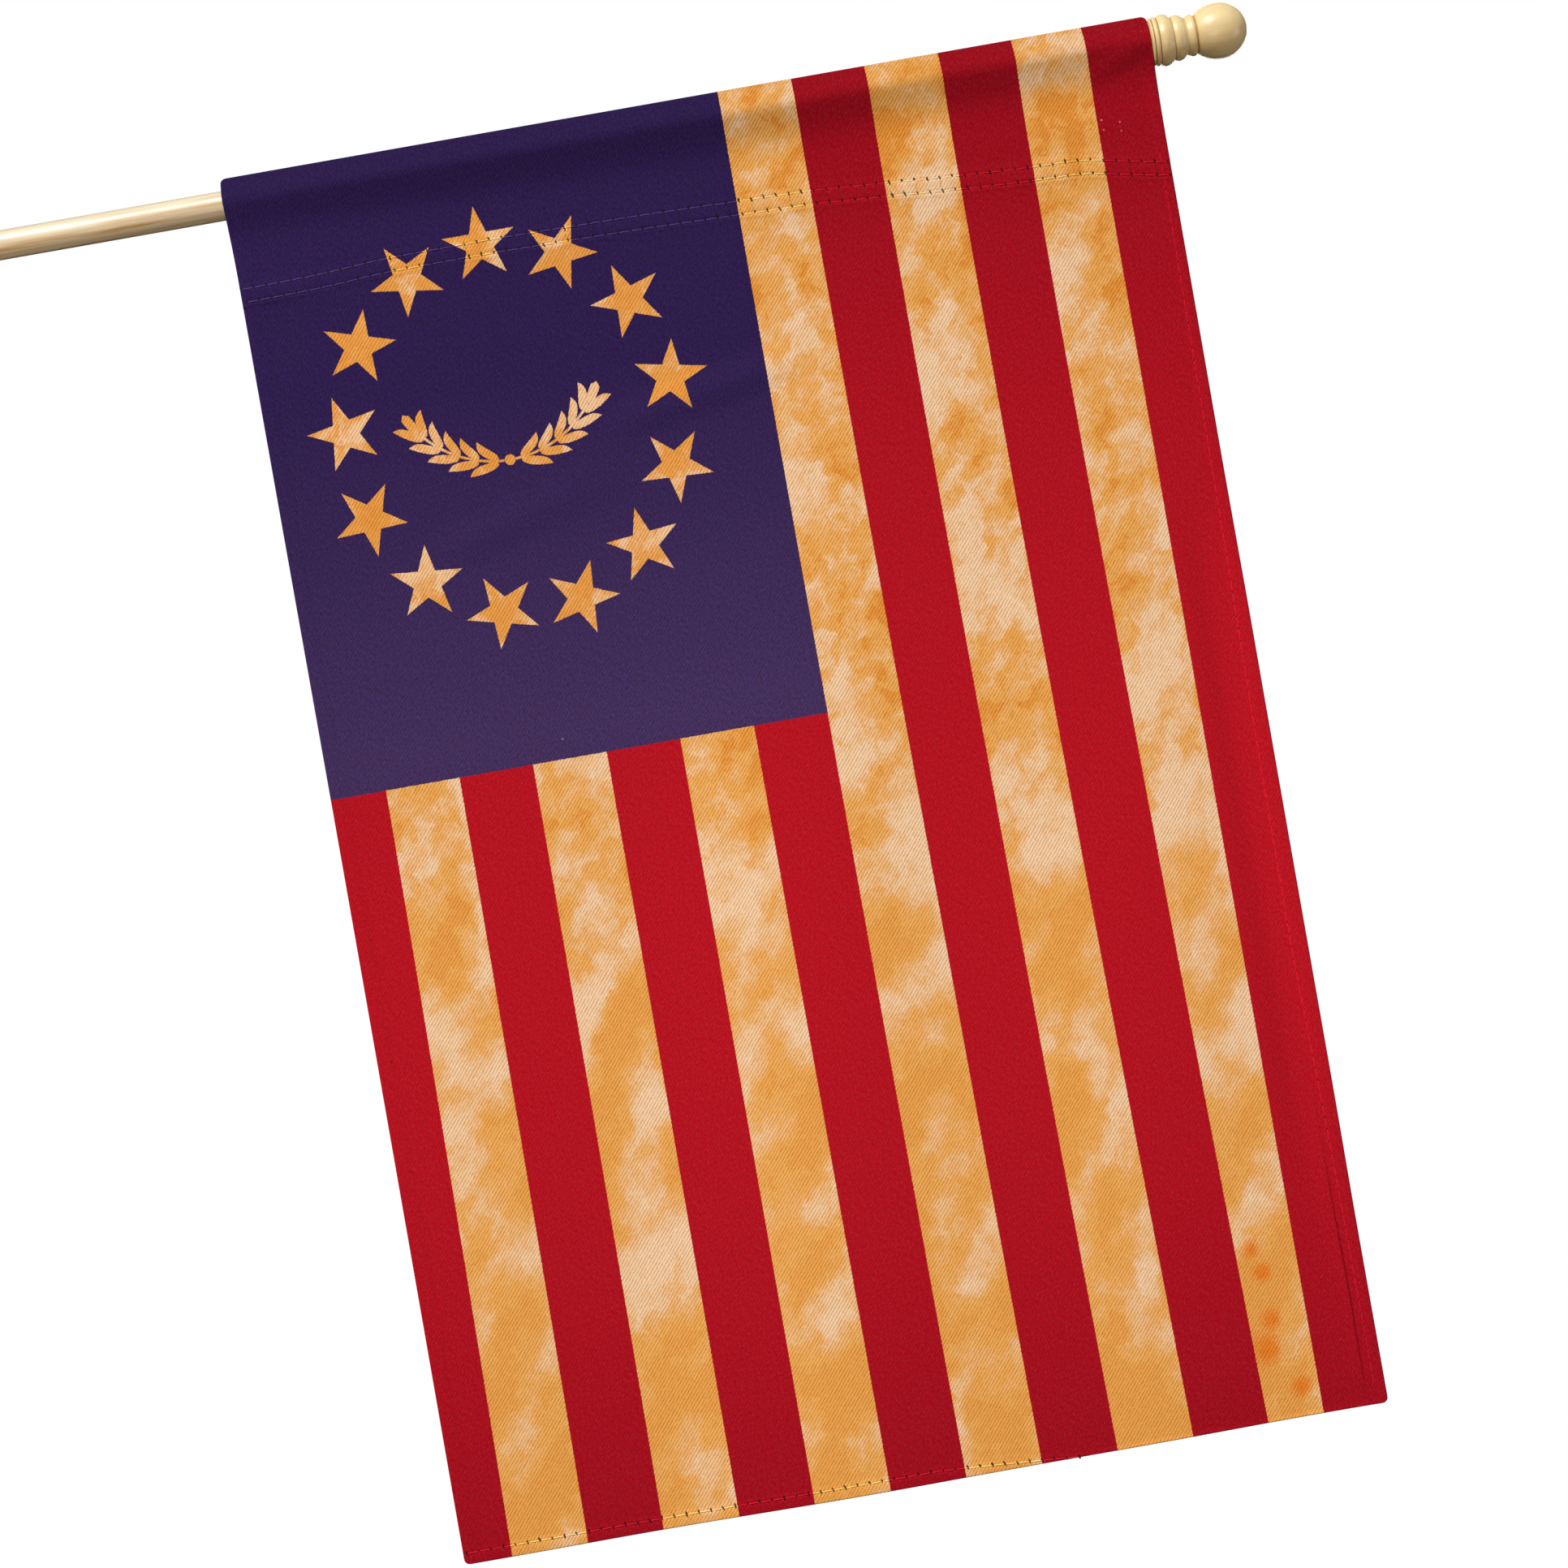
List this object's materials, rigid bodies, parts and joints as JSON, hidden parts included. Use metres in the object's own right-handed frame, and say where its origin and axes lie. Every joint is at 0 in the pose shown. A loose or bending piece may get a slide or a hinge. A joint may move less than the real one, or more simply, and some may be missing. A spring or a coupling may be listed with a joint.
{
  "type": "house flag on a wooden pole",
  "caption": "House flag with a printed star canton and stripes, hanging by its stitched sleeve from a round wooden pole that ends in a turned ball finial.",
  "frame": {"origin": "centre of the pole's butt face, on the pole's axis", "axes": "+X along the pole towards the finial, -Z down the hanging cloth, -Y out of the printed front"},
  "size_m": [1.524, 0.0422, 1.0676],
  "materials": {
    "printed_cloth": "matte printed twill, tea stained",
    "pole_wood": "satin clear-finished pale wood",
    "finial_wood": "turned and varnished pale wood"
  },
  "bodies": {
    "root": {"flag_cloth": "printed_cloth", "pole": "pole_wood", "finial": "finial_wood"}
  },
  "joints": []
}
